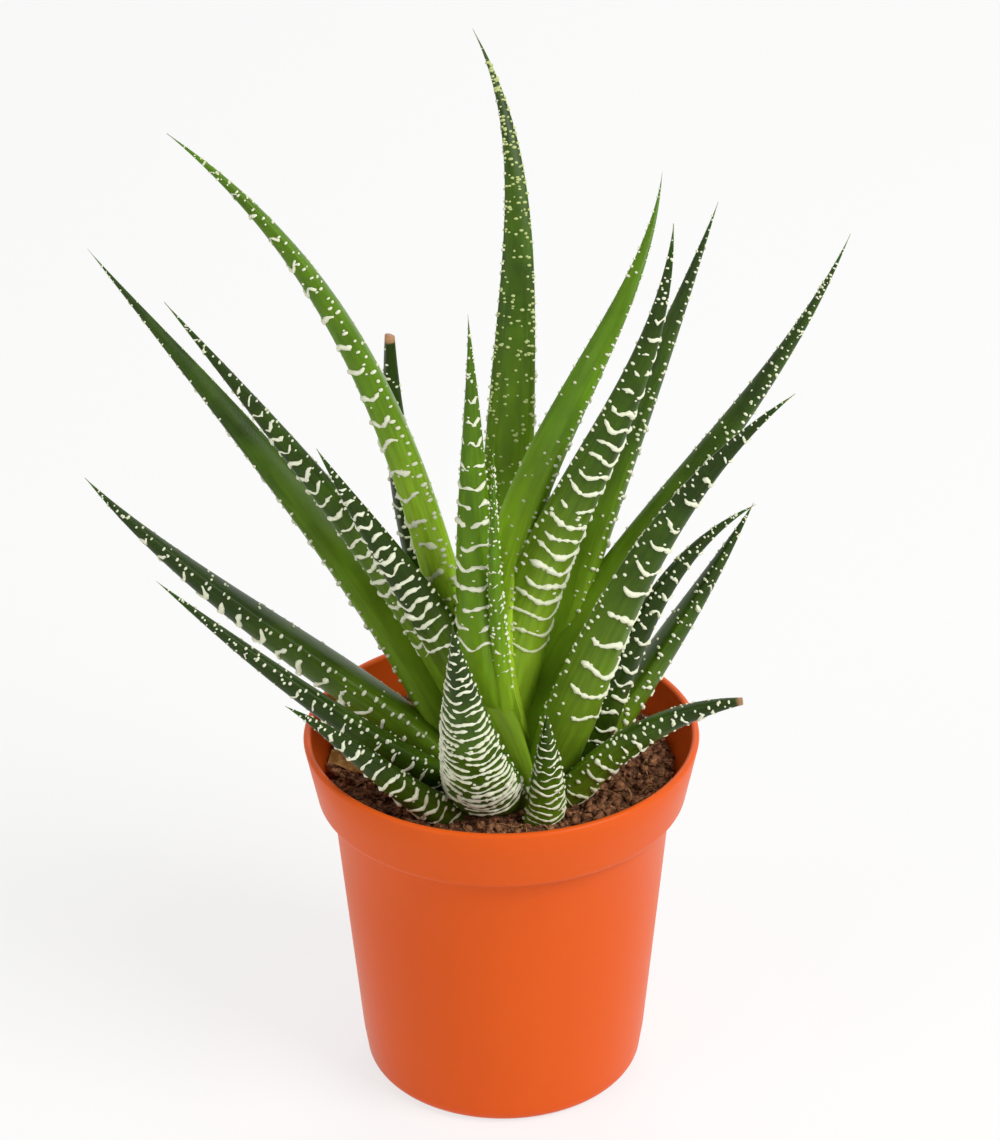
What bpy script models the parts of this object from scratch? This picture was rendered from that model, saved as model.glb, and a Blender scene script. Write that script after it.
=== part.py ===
"""Potted haworthia: a plastic nursery pot, its soil, a short stem and the leaves that grow from it."""

import math

import bmesh
import bpy
from mathutils import Matrix, Vector

MM = 0.001
GAP = 0.3 * MM  # clearance between pieces that touch
MERGE = 0.001 * MM  # vertices nearer than this are one
CUT_MERGE = 0.004 * MM  # the same after a cut, which leaves finer slivers
SHELL_LIMIT = 2.5  # most that a sharp corner of a guard is pushed out, in gaps

# Pot: tapered thin wall under a deep collar, open at the top
POT_HEIGHT = 58 * MM
RIM_RADIUS = 30 * MM
COLLAR_HEIGHT = 10.5 * MM
COLLAR_FOOT_RADIUS = 28.2 * MM
MOUTH_SHARE = 0.7  # the mouth reaches its full width at this share of the collar
SHOULDER_RADIUS = 25.9 * MM
BASE_RADIUS = 21.5 * MM
BASE_ROUND = 2.4 * MM
WALL = 1.2 * MM
RIM_ROUND = 0.6 * MM
POT_SIDES = 64
DRAIN_HOLES = 5
DRAIN_RADIUS = 2.2 * MM
DRAIN_CIRCLE = 13 * MM
POT_ORANGE = (0.72, 0.11, 0.02)

# Soil: fills the pot to a little under the rim
SOIL_TOP = 51.6 * MM
SOIL_EDGE_DROP = 0.4 * MM  # the rim of the soil lies this much lower
SOIL_BUMP = 0.7 * MM
SOIL_WAVES = (420, 510)  # radians per metre of the gentle humps, along X and Y
SOIL_RINGS = 6
SOIL_SIDES = 40
SOIL_BROWN = (0.05, 0.025, 0.012)

# Stem: short column that every leaf base clasps
STEM_PLACE = Vector((2 * MM, -5 * MM, 0))
STEM_RADIUS = 3.6 * MM
STEM_TIP_RADIUS = 2.2 * MM
STEM_FOOT = 40 * MM
STEM_TOP = 60 * MM
STEM_FOOT_RADIUS = 2.5 * MM
STEM_FOOT_TAPER = 3 * MM  # height over which the foot widens
STEM_TIP_TAPER = 8 * MM  # height over which the top narrows
STEM_CROWN = 1.5 * MM  # height of the blunt growing point
STEM_SIDES = 20
STEM_GREEN = (0.22, 0.25, 0.06)

# Leaf blade: round outer face, flatter inner face
BLADE_SIDES = 10
BLADE_STATIONS = 13
INNER_BULGE = 0.28
BASE_THINNING = 0.5  # the base that clasps the stem is half as thick as the blade
BLADE_TAPER = 0.9  # how much fuller the blade stays towards its point
BLADE_POINT = 1.3  # above 1, the point is longer and finer
BLADE_GREEN = (0.07, 0.20, 0.03)

# Leaves, outermost first. Heading is degrees from +X towards +Y and rise is degrees above level, each
# at base, middle and tip. Reach and foot place the base: distance from the stem's axis and height. Seat
# is the direction from the stem to the base, where that isn't the first heading.
# Lengths are in millimetres. Roll turns the blade about its own length, in degrees.
LEAVES = {
    "leaf_front_cone": dict(length=48, width=13.5, thick=5.5, heading=(264, 253, 251),
                            rise=(39, 67, 81), reach=5.7, seat=225, foot=50, roll=0, fullness=0.85),
    "leaf_front_tiny": dict(length=24, width=6.5, thick=3.2, heading=(293, 268, 268),
                            rise=(74, 79, 79), reach=11, foot=49.5, roll=0, fullness=0.85),
    "leaf_left_small": dict(length=43, width=6.5, thick=4, heading=(221, 209, 196),
                            rise=(30, 48, 38), reach=8, foot=48, roll=15, fullness=1.0),
    "leaf_right_small": dict(length=38, width=7, thick=4, heading=(330, 339, 346),
                             rise=(61, 42, 16), reach=8, foot=49.5, roll=-10, fullness=1.0, keep=0.89),
    "leaf_left_low": dict(length=77, width=9, thick=5, heading=(177, 171, 167),
                          rise=(48, 36, 48), reach=5, foot=50, roll=12, fullness=1.1),
    "leaf_left_thin": dict(length=63, width=5.5, thick=3.5, heading=(205, 185, 172),
                           rise=(35, 41, 41), reach=5, foot=50.5, roll=10, fullness=1.0),
    "leaf_right_low": dict(length=52, width=7.5, thick=4, heading=(17, 20, 20),
                           rise=(56, 55, 61), reach=9, foot=49.5, roll=-10, fullness=1.0),
    "leaf_right_dark_small": dict(length=57, width=6.5, thick=4, heading=(0, 0, 6),
                                  rise=(63, 68, 27), reach=8, foot=50, roll=-10, fullness=1.0),
    "leaf_right_thick": dict(length=83, width=10.5, thick=6, heading=(-28, -21, -26),
                             rise=(74, 65, 44), reach=5.5, foot=52, roll=-20, fullness=0.65),
    "leaf_left_far": dict(length=99, width=8, thick=4.5, heading=(162, 150, 150),
                          rise=(69, 45, 43), reach=7, foot=52, roll=-30, fullness=0.85),
    "leaf_right_long": dict(length=95, width=9.5, thick=5, heading=(52, 23, 18),
                            rise=(58, 49, 67), reach=3.8, seat=276, foot=56, roll=8, fullness=0.6),
    "leaf_left_banded": dict(length=89, width=9.5, thick=5.5, heading=(178, 175, 177),
                             rise=(68, 56, 53), reach=2, foot=55.5, roll=30, fullness=0.5),
    "leaf_left_short": dict(length=68, width=9, thick=5.5, heading=(170, 200, 200),
                            rise=(69, 62, 63), reach=4.2, seat=287, foot=54, roll=25, fullness=1.0),
    "leaf_right_dark": dict(length=87, width=8, thick=4.5, heading=(49, 44, 40),
                            rise=(66, 60, 65), reach=2, foot=57, roll=0, fullness=1.0),
    "leaf_back_cut": dict(length=69, width=6.5, thick=4.5, heading=(147, 135, 121),
                          rise=(58, 71, 92), reach=3, foot=54.5, roll=0, fullness=0.85, keep=0.84),
    "leaf_left_arching": dict(length=111, width=8, thick=4.5, heading=(178, 184, 168),
                              rise=(76, 71, 36), reach=4, foot=58, roll=5, fullness=1.2),
    "leaf_right_banded": dict(length=93, width=10.5, thick=6, heading=(-16, -30, 10),
                              rise=(95, 66, 88), reach=0, foot=59, roll=-12, fullness=1.0),
    "leaf_right_smooth": dict(length=94, width=8, thick=4.5, heading=(38, 25, 80),
                              rise=(110, 64, 49), reach=0, foot=59, roll=20, fullness=1.1),
    "leaf_back_tall": dict(length=109, width=9, thick=4.5, heading=(104, 78, 136),
                           rise=(82, 75, 50), reach=4, foot=57, roll=0, fullness=1.15),
    "leaf_centre_dark": dict(length=46, width=5, thick=3, heading=(125, 120, 125),
                             rise=(70, 84, 92), reach=4, foot=57, roll=0, fullness=0.8),
    "leaf_centre_banded": dict(length=76, width=8, thick=4.5, heading=(230, 253, 250),
                               rise=(56, 88, 83), reach=1.2, seat=211, foot=60, roll=0, fullness=0.9),
    "leaf_centre_thin": dict(length=59, width=3.5, thick=2.5, heading=(252, 263, 278),
                             rise=(74, 77, 88), reach=3, foot=59, roll=0, fullness=0.9),
}

# Withered leaf: papery, thin near the stem and widest towards its blunt end
HUSK = dict(length=19, width=3.6, thick=1.0, heading=(188, 180, 168), rise=(8, 26, 6),
            reach=11, seat=206, foot=52.9, roll=-30, fullness=0.7, keep=0.45)
HUSK_TAN = (0.45, 0.24, 0.08)

# Dry fibre: hangs from the withered leaf down to the soil; points chosen along its fall
FIBRE_POINTS = [(-13.5, -8, 56.5), (-12.2, -9.6, 55.6), (-11, -11.6, 54.6), (-10.4, -14, 53.9),
                (-10.2, -16.4, 53.2)]
FIBRE_RADIUS = 0.25 * MM


def clear_scene():
    for item in list(bpy.data.objects):
        bpy.data.objects.remove(item, do_unlink=True)


def make_material(name, colour, roughness):
    material = bpy.data.materials.new(name)
    material.use_nodes = True
    shader = material.node_tree.nodes["Principled BSDF"]
    shader.inputs["Base Color"].default_value = (*colour, 1.0)
    shader.inputs["Roughness"].default_value = roughness
    shader.inputs["Metallic"].default_value = 0.0
    return material


def make_object(name, bm, colour, roughness):
    """Turn a bmesh into a named, smooth-shaded object with a material of its own."""
    bmesh.ops.recalc_face_normals(bm, faces=bm.faces)
    mesh = bpy.data.meshes.new(name)
    bm.to_mesh(mesh)
    bm.free()
    mesh.shade_smooth()
    mesh.set_sharp_from_angle(angle=math.radians(40))
    piece = bpy.data.objects.new(name, mesh)
    bpy.context.scene.collection.objects.link(piece)
    piece.data.materials.append(make_material(name, colour, roughness))
    return piece


def turn_outline(outline, sides):
    """Spin an (radius, height) outline that starts and ends on the axis into a closed solid."""
    bm = bmesh.new()
    points = [bm.verts.new((radius, 0, height)) for radius, height in outline]
    edges = [bm.edges.new(pair) for pair in zip(points, points[1:])]
    bmesh.ops.spin(bm, geom=points + edges, cent=(0, 0, 0), axis=(0, 0, 1), dvec=(0, 0, 0),
                   angle=math.tau, steps=sides, use_merge=True, use_duplicate=False)
    bmesh.ops.remove_doubles(bm, verts=bm.verts, dist=MERGE)
    return bm


def arc(centre, radius, start, end, steps):
    """Points on an arc in the (radius, height) plane, angles in degrees."""
    angles = [math.radians(start + (end - start) * step / steps) for step in range(steps + 1)]
    return [(centre[0] + radius * math.cos(a), centre[1] + radius * math.sin(a)) for a in angles]


def pot_outer_radius(height):
    """Outer radius of the tapered wall below the collar."""
    share = height / (POT_HEIGHT - COLLAR_HEIGHT)
    return BASE_RADIUS + (SHOULDER_RADIUS - BASE_RADIUS) * share


def pot_inner_radius(height):
    """Inner radius: the wall below the collar, then the wider mouth inside the collar."""
    collar_foot = POT_HEIGHT - COLLAR_HEIGHT
    if height <= collar_foot:
        return pot_outer_radius(height) - WALL
    share = min(1.0, (height - collar_foot) / (MOUTH_SHARE * COLLAR_HEIGHT))
    throat_radius = SHOULDER_RADIUS - WALL
    mouth_radius = RIM_RADIUS - 2 * RIM_ROUND
    return throat_radius + (mouth_radius - throat_radius) * share


def build_pot():
    collar_foot = POT_HEIGHT - COLLAR_HEIGHT
    outline = [(0, 0)]
    outline += arc((BASE_RADIUS - BASE_ROUND, BASE_ROUND), BASE_ROUND, -90, 0, 4)
    outline += [(pot_outer_radius(collar_foot - WALL), collar_foot - WALL)]
    outline += [(COLLAR_FOOT_RADIUS - RIM_ROUND, collar_foot), (COLLAR_FOOT_RADIUS, collar_foot + WALL)]
    outline += arc((RIM_RADIUS - RIM_ROUND, POT_HEIGHT - RIM_ROUND), RIM_ROUND, 0, 180, 4)
    heights = (collar_foot + MOUTH_SHARE * COLLAR_HEIGHT, collar_foot, BASE_ROUND + WALL)
    outline += [(pot_inner_radius(height), height) for height in heights]
    outline += [(BASE_RADIUS - BASE_ROUND, WALL), (0, WALL)]
    pot = make_object("pot", turn_outline(outline, POT_SIDES), POT_ORANGE, 0.35)
    for index in range(DRAIN_HOLES):
        turn = math.tau * (index + 0.5) / DRAIN_HOLES
        cutter = drain_cutter(DRAIN_CIRCLE * math.cos(turn), DRAIN_CIRCLE * math.sin(turn))
        cut(pot, cutter)
        bpy.data.objects.remove(cutter, do_unlink=True)
    return pot


def drain_cutter(x, y):
    bm = bmesh.new()
    bmesh.ops.create_cone(bm, cap_ends=True, segments=16, radius1=DRAIN_RADIUS, radius2=DRAIN_RADIUS,
                          depth=4 * WALL, matrix=Matrix.Translation((x, y, WALL / 2)))
    return make_object("drain_cutter", bm, (0, 0, 0), 0.5)


def build_soil():
    floor = WALL + GAP
    outline = [(0, floor), (BASE_RADIUS - BASE_ROUND - GAP, floor)]
    heights = [BASE_ROUND + WALL + GAP, POT_HEIGHT - COLLAR_HEIGHT, SOIL_TOP - SOIL_EDGE_DROP]
    outline += [(pot_inner_radius(height) - GAP, height) for height in heights]
    edge_radius = outline[-1][0]
    for ring in range(1, SOIL_RINGS + 1):
        outline.append((edge_radius * (1 - ring / SOIL_RINGS), SOIL_TOP))
    bm = turn_outline(outline, SOIL_SIDES)
    for vert in bm.verts:
        if vert.co.z > SOIL_TOP - SOIL_EDGE_DROP / 2:
            vert.co.z += (SOIL_BUMP * math.sin(vert.co.x * SOIL_WAVES[0])
                          * math.cos(vert.co.y * SOIL_WAVES[1]))
    return make_object("soil", bm, SOIL_BROWN, 0.95)


def build_stem():
    outline = [(0, STEM_FOOT), (STEM_FOOT_RADIUS, STEM_FOOT), (STEM_RADIUS, STEM_FOOT + STEM_FOOT_TAPER)]
    outline += [(STEM_RADIUS, STEM_TOP - STEM_TIP_TAPER), (STEM_TIP_RADIUS, STEM_TOP - STEM_CROWN)]
    outline += [(STEM_TIP_RADIUS / 2, STEM_TOP), (0, STEM_TOP)]
    bm = turn_outline(outline, STEM_SIDES)
    bmesh.ops.translate(bm, verts=bm.verts, vec=STEM_PLACE)
    return make_object("stem", bm, STEM_GREEN, 0.6)


def blend3(values, share):
    """Smooth curve through a base, a middle and a tip value."""
    base, middle, tip = values
    return (base * (1 - share) * (1 - 2 * share) + middle * 4 * share * (1 - share)
            + tip * share * (2 * share - 1))


def blade_width(fullness, share):
    """Width along the leaf as a share of the base width: nearly parallel, then a long point."""
    return (1 - share) ** BLADE_POINT * (1 + fullness * share + BLADE_TAPER * fullness * share * share)


def leaf_direction(leaf, share):
    """Unit vectors across and along the blade at a share of its length."""
    heading = math.radians(blend3(leaf["heading"], share))
    rise = math.radians(blend3(leaf["rise"], share))
    along = Vector((math.cos(heading) * math.cos(rise), math.sin(heading) * math.cos(rise), math.sin(rise)))
    across = Vector((math.sin(heading), -math.cos(heading), 0))
    across.rotate(Matrix.Rotation(math.radians(leaf["roll"]), 3, along))
    return across, along


def leaf_frames(leaf, stations):
    """One matrix per station: its columns are across, inner face, along and place."""
    frames = []
    keep = leaf.get("keep", 1.0)
    seat = math.radians(leaf.get("seat", leaf["heading"][0]))
    place = STEM_PLACE + Vector((leaf["reach"] * math.cos(seat), leaf["reach"] * math.sin(seat),
                                 leaf["foot"])) * MM
    for index in range(stations + 1):
        share = index / stations
        across, along = leaf_direction(leaf, share)
        frame = Matrix((across, across.cross(along), along)).transposed().to_4x4()
        frame.translation = place
        size = blade_width(leaf["fullness"], share * keep)
        thick = leaf["thick"] * size ** 0.8 * min(1.0, BASE_THINNING + 3 * share)
        frames.append(frame @ Matrix.Diagonal((leaf["width"] / 2 * MM * size, thick * MM, 1, 1)))
        middle = leaf_direction(leaf, share + 0.5 / stations)[1]
        place = place + middle * leaf["length"] * MM / stations
    return frames


def grow_ring(bm, edges, change):
    """Extrude a ring of edges and move the new ring; returns its vertices and edges."""
    grown = bmesh.ops.extrude_edge_only(bm, edges=edges)["geom"]
    verts = [item for item in grown if isinstance(item, bmesh.types.BMVert)]
    bmesh.ops.transform(bm, matrix=change, verts=verts)
    return verts, [item for item in grown if isinstance(item, bmesh.types.BMEdge)]


def build_leaf(name, leaf, colour=BLADE_GREEN):
    """Loft a half-round ring along the leaf: the ring is extruded station by station."""
    frames = leaf_frames(leaf, BLADE_STATIONS)
    blunt = "keep" in leaf
    bm = bmesh.new()
    ring = bmesh.ops.create_circle(bm, cap_ends=False, segments=BLADE_SIDES, radius=1)["verts"]
    for vert in ring:
        vert.co.y *= INNER_BULGE if vert.co.y > 0 else 1.0
        vert.co.y += (1 - INNER_BULGE) / 2
    edges = list(bm.edges)
    bmesh.ops.contextual_create(bm, geom=edges)
    bmesh.ops.transform(bm, matrix=frames[0], verts=ring)
    last = len(frames) if blunt else len(frames) - 1
    for before, after in zip(frames[:last - 1], frames[1:last]):
        ring, edges = grow_ring(bm, edges, after @ before.inverted())
    if blunt:
        bmesh.ops.contextual_create(bm, geom=edges)
    else:
        ring, edges = grow_ring(bm, edges, Matrix.Identity(4))
        bmesh.ops.pointmerge(bm, verts=ring, merge_co=frames[-1].translation)
    return make_object(name, bm, colour, 0.4)


def build_fibre():
    """A thin tube along the fibre's points, made a mesh so that it can be cut clear."""
    curve = bpy.data.curves.new("fibre_route", "CURVE")
    curve.dimensions = "3D"
    curve.bevel_depth = FIBRE_RADIUS
    curve.bevel_resolution = 1
    curve.use_fill_caps = True
    line = curve.splines.new("POLY")
    line.points.add(len(FIBRE_POINTS) - 1)
    for point, place in zip(line.points, FIBRE_POINTS):
        point.co = (*(Vector(place) * MM), 1.0)
    route = bpy.data.objects.new("fibre_route", curve)
    bpy.context.scene.collection.objects.link(route)
    bm = bmesh.new()
    bm.from_mesh(route.evaluated_get(bpy.context.evaluated_depsgraph_get()).to_mesh())
    bpy.data.objects.remove(route, do_unlink=True)
    bmesh.ops.remove_doubles(bm, verts=bm.verts, dist=MERGE)
    return make_object("dry_fibre", bm, HUSK_TAN, 0.8)


def make_guard(piece):
    """A hidden cutter one gap larger than the piece all round, taken before the piece is cut."""
    bm = bmesh.new()
    bm.from_mesh(piece.data)
    bm.normal_update()
    moves = [(vert, vert.normal * GAP * min(vert.calc_shell_factor(), SHELL_LIMIT)) for vert in bm.verts]
    for vert, move in moves:
        vert.co += move
    guard = make_object(piece.name + "_guard", bm, (0, 0, 0), 0.5)
    guard.hide_render = True
    guard.display_type = "WIRE"
    return guard


def keep_largest_body(bm):
    """Drop every loose body except the largest one."""
    bodies = []
    left = set(bm.verts)
    while left:
        body = {left.pop()}
        front = list(body)
        while front:
            for edge in front.pop().link_edges:
                for vert in edge.verts:
                    if vert in left:
                        left.remove(vert)
                        body.add(vert)
                        front.append(vert)
        bodies.append(body)
    bodies.sort(key=lambda body: max(v.co.z for v in body) - min(v.co.z for v in body))
    loose = [vert for body in bodies[:-1] for vert in body]
    bmesh.ops.delete(bm, geom=loose, context="VERTS")


def cut(piece, cutter):
    """Take the cutter out of the piece and apply the result."""
    boolean = piece.modifiers.new("cut", "BOOLEAN")
    boolean.operation = "DIFFERENCE"
    boolean.solver = "EXACT"
    boolean.object = cutter
    result = piece.evaluated_get(bpy.context.evaluated_depsgraph_get())
    bm = bmesh.new()
    bm.from_mesh(result.to_mesh())
    result.to_mesh_clear()
    piece.modifiers.clear()
    bmesh.ops.triangulate(bm, faces=bm.faces)
    bmesh.ops.remove_doubles(bm, verts=bm.verts, dist=CUT_MERGE)
    bmesh.ops.dissolve_degenerate(bm, edges=bm.edges, dist=CUT_MERGE / 2)
    keep_largest_body(bm)
    bm.to_mesh(piece.data)
    bm.free()


def corners(piece):
    low = Vector([min(vert.co[axis] for vert in piece.data.vertices) for axis in range(3)])
    high = Vector([max(vert.co[axis] for vert in piece.data.vertices) for axis in range(3)])
    return low, high


def near(first, second):
    low_a, high_a = corners(first)
    low_b, high_b = corners(second)
    return all(low_a[axis] - GAP < high_b[axis] and low_b[axis] - GAP < high_a[axis] for axis in range(3))


def cut_clear(piece, guards):
    for guard in guards:
        if near(piece, guard):
            cut(piece, guard)


def build_plant():
    """Each leaf keeps clear of the stem and of the leaves outside it; returns the guards."""
    guards = [make_guard(build_stem())]
    for name, leaf in LEAVES.items():
        piece = build_leaf(name, leaf)
        guard = make_guard(piece)
        cut_clear(piece, guards)
        guards.append(guard)
    husk = build_leaf("dry_husk", HUSK, HUSK_TAN)
    guard = make_guard(husk)
    cut_clear(husk, guards)
    return guards + [guard]


def main():
    clear_scene()
    build_pot()
    soil = build_soil()
    guards = build_plant()
    cut_clear(soil, guards)
    cut_clear(build_fibre(), guards)
    for guard in guards:
        bpy.data.objects.remove(guard, do_unlink=True)


main()
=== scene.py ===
import math
import random

import bmesh
import bpy
from mathutils import Matrix, Vector, noise


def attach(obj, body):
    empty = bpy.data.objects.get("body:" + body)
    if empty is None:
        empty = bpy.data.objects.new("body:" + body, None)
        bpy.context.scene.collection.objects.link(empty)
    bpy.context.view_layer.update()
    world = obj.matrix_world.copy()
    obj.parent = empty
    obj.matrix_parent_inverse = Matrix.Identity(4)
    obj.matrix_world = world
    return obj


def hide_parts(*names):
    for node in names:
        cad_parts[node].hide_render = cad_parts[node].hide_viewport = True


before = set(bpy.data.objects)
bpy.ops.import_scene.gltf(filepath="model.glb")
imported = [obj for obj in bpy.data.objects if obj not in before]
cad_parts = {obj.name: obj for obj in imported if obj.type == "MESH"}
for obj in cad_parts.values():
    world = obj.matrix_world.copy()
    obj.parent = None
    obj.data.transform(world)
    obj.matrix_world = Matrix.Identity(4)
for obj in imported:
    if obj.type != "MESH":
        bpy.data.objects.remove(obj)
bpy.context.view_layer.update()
print("frame loaded:", len(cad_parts), "nodes")

mm = 0.001
stemPlace = Vector((2, -5, 0)) * mm  # every leaf grows from this axis

# lengths in mm and angles in degrees; where three are given they hold at the base, middle and tip
# heading: direction from +X towards +Y; rise: angle above level; roll: turn about the blade's own length
# reach, seat, foot: the base's distance and side from the stem's axis, and its height above the floor
# fullness: how long the blade stays wide; keep: share of the blade that is left where its tip is lost
# bands: spacing of the ridges; span: how far they wrap the outer face; ridge: half of one's width
# bow: how far a ridge sags towards the base; wave: how far it wavers; broken: chance of a gap in it
# start, end: where along the leaf the ridges run, as shares; innerDots, innerStart: dots on the inner face
# tone: 0 dark to 1 bright green; glow: how yellow-green the base is, partly painted light in the shaded
# centre; dry: 0 brown tip, 1 straw-coloured
leafTable = {
    "front_cone": dict(length=48, width=13.5, thick=5.5, heading=(264, 253, 251), rise=(39, 67, 81),
        reach=5.7, seat=225, foot=50, roll=0, fullness=0.85, bands=1.35, span=0.97, ridge=0.3, bow=1.6,
        wave=0.3, broken=0.25, start=0.17, end=0.97, innerDots=0.2, tone=0.35, glow=0.0, dry=0),
    "front_tiny": dict(length=24, width=6.5, thick=3.2, heading=(293, 268, 268), rise=(74, 79, 79),
        reach=11, foot=49.5, roll=0, fullness=0.85, bands=1.35, span=0.9, ridge=0.22, bow=0.8, wave=0.25,
        broken=0.35, start=0.12, end=0.9, innerDots=0.2, tone=0.4, glow=0.2, dry=0),
    "left_small": dict(length=43, width=6.5, thick=4, heading=(221, 209, 196), rise=(30, 48, 38),
        reach=8, foot=48, roll=15, fullness=1.0, bands=2.4, span=0.95, ridge=0.3, bow=0.9, broken=0.4,
        start=0.1, end=0.95, innerDots=0.4, tone=0.15, glow=0.1, dry=0),
    "right_small": dict(length=38, width=7, thick=4, heading=(330, 339, 346), rise=(61, 42, 16),
        reach=8, foot=49.5, roll=-10, fullness=1.0, keep=0.89, bands=2.2, span=0.95, ridge=0.28,
        bow=0.9, broken=0.5, start=0.1, end=0.97, innerDots=0.5, tone=0.3, glow=0.4, dry=0.7),
    "left_low": dict(length=77, width=9, thick=5, heading=(177, 171, 167), rise=(48, 36, 48), reach=5,
        foot=50, roll=12, fullness=1.1, bands=3.9, span=0.85, ridge=0.42, bow=1.2, wave=0.7, broken=0.3,
        start=0.2, end=0.97, innerDots=0.3, tone=0.18, glow=0.2, dry=0),
    "left_thin": dict(length=63, width=5.5, thick=3.5, heading=(205, 185, 172), rise=(35, 41, 41),
        reach=5, foot=50.5, roll=10, fullness=1.0, bands=2.9, span=0.9, ridge=0.24, bow=0.8, broken=0.5,
        start=0.1, end=0.9, innerDots=0.3, tone=0.1, glow=0.0, dry=0),
    "right_low": dict(length=52, width=7.5, thick=4, heading=(17, 20, 20), rise=(56, 55, 61), reach=9,
        foot=49.5, roll=-10, fullness=1.0, bands=2.9, span=0.9, ridge=0.3, bow=1, broken=0.8,
        start=0.15, end=0.95, innerDots=0.6, tone=0.35, glow=0.2, dry=0),
    "right_dark_small": dict(length=57, width=6.5, thick=4, heading=(0, 0, 6), rise=(63, 68, 27),
        reach=8, foot=50, roll=-10, fullness=1.0, bands=2.7, span=0.95, ridge=0.3, bow=1, broken=0.5,
        start=0.1, end=0.95, innerDots=0.6, tone=0.1, glow=0.0, dry=0.6),
    "right_thick": dict(length=83, width=10.5, thick=6, heading=(-28, -21, -26), rise=(74, 65, 44),
        reach=5.5, foot=52, roll=-20, fullness=0.65, bands=4.6, span=0.85, ridge=0.46, bow=2.6, wave=0.6,
        broken=0.05, start=0.2, end=0.97, innerDots=0.8, tone=0.28, glow=0.3, dry=0.3),
    "left_far": dict(length=99, width=8, thick=4.5, heading=(162, 150, 150), rise=(69, 45, 43), reach=7,
        foot=52, roll=-30, fullness=0.85, bands=4, span=0.98, ridge=0.34, bow=1, broken=0.4, start=0.2,
        end=0.97, innerDots=0.0, tone=0.35, glow=0.5, dry=0),
    "right_long": dict(length=95, width=9.5, thick=5, heading=(52, 23, 18), rise=(58, 49, 67),
        reach=3.8, seat=276, foot=56, roll=8, fullness=0.6, bands=3.4, span=0.98, ridge=0.32, bow=1,
        broken=0.6, start=0.5, end=0.97, innerDots=0.35, innerStart=0.5, tone=0.35, glow=0.5, dry=0),
    "left_banded": dict(length=89, width=9.5, thick=5.5, heading=(178, 175, 177), rise=(68, 56, 53),
        reach=2, foot=55.5, roll=30, fullness=0.5, bands=2.4, span=0.9, ridge=0.38, bow=1.4,
        broken=0.35, start=0.25, end=0.97, innerDots=0.3, tone=0.28, glow=0.35, dry=0),
    "left_short": dict(length=68, width=9, thick=5.5, heading=(170, 200, 200), rise=(69, 62, 63),
        reach=4.2, seat=287, foot=54, roll=25, fullness=1.0, bands=2.3, span=0.9, ridge=0.38, bow=1.2,
        broken=0.4, start=0.42, end=0.97, innerDots=0.1, tone=0.15, glow=0.4, dry=0),
    "right_dark": dict(length=87, width=8, thick=4.5, heading=(49, 44, 40), rise=(66, 60, 65), reach=2,
        foot=57, roll=0, fullness=1.0, bands=4, span=0.98, ridge=0.36, bow=1, broken=0.5, start=0.2,
        end=0.97, innerDots=0.3, tone=0.38, glow=0.5, dry=0),
    "back_cut": dict(length=69, width=6.5, thick=4.5, heading=(147, 135, 121), rise=(58, 71, 92),
        reach=3, foot=54.5, roll=0, fullness=0.85, keep=0.84, bands=4, span=0.98, ridge=0.32, bow=1,
        broken=0.5, start=0.2, end=0.98, innerDots=0.4, tone=0.1, glow=0.0, dry=1),
    "left_arching": dict(length=111, width=8, thick=4.5, heading=(178, 184, 168), rise=(76, 71, 36),
        reach=4, foot=58, roll=5, fullness=1.2, bands=4.4, span=0.9, ridge=0.38, bow=1.6, wave=0.6,
        broken=0.05, start=0.2, end=0.97, innerDots=0.5, tone=0.8, glow=1.6, dry=0),
    "right_banded": dict(length=93, width=10.5, thick=6, heading=(-16, -30, 10), rise=(95, 66, 88),
        reach=0, foot=59, roll=-12, fullness=1.0, bands=3.1, span=0.92, ridge=0.38, bow=1.8, broken=0.15,
        start=0.2, end=0.97, innerDots=0.3, tone=0.35, glow=0.75, dry=0),
    "right_smooth": dict(length=94, width=8, thick=4.5, heading=(38, 25, 80), rise=(110, 64, 49),
        reach=0, foot=59, roll=20, fullness=1.1, bands=4, span=0.98, ridge=0.34, bow=1, broken=0.5,
        start=0.2, end=0.97, innerDots=0.25, tone=0.85, glow=1.9, dry=0),
    "back_tall": dict(length=109, width=9, thick=4.5, heading=(104, 78, 136), rise=(82, 75, 50),
        reach=4, foot=57, roll=0, fullness=1.15, bands=3.6, span=0.98, ridge=0.32, bow=1, broken=0.4,
        start=0.2, end=0.9, innerDots=2.2, innerTint=0.7, tone=0.42, glow=0.8, dry=0),
    "centre_dark": dict(length=46, width=5, thick=3, heading=(125, 120, 125), rise=(70, 84, 92),
        reach=4, foot=57, roll=0, fullness=0.8, bands=3, span=0.9, ridge=0.25, bow=0.8, broken=0.5,
        start=0.3, end=0.9, innerDots=0.3, tone=0.4, glow=0.4, dry=0),
    "centre_banded": dict(length=76, width=8, thick=4.5, heading=(230, 253, 250), rise=(56, 88, 83),
        reach=1.2, seat=211, foot=60, roll=0, fullness=0.9, bands=3.3, span=0.9, ridge=0.36, bow=1.1,
        broken=0.3, start=0.3, end=0.95, innerDots=0.3, tone=0.7, glow=0.25, dry=0),
    "centre_thin": dict(length=59, width=3.5, thick=2.5, heading=(252, 263, 278), rise=(74, 77, 88),
        reach=3, foot=59, roll=0, fullness=0.9, bands=2.4, span=0.8, ridge=0.2, bow=0.5, broken=0.8,
        start=0.3, end=0.95, innerDots=0.3, tone=0.8, glow=0.5, dry=0),
}
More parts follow.
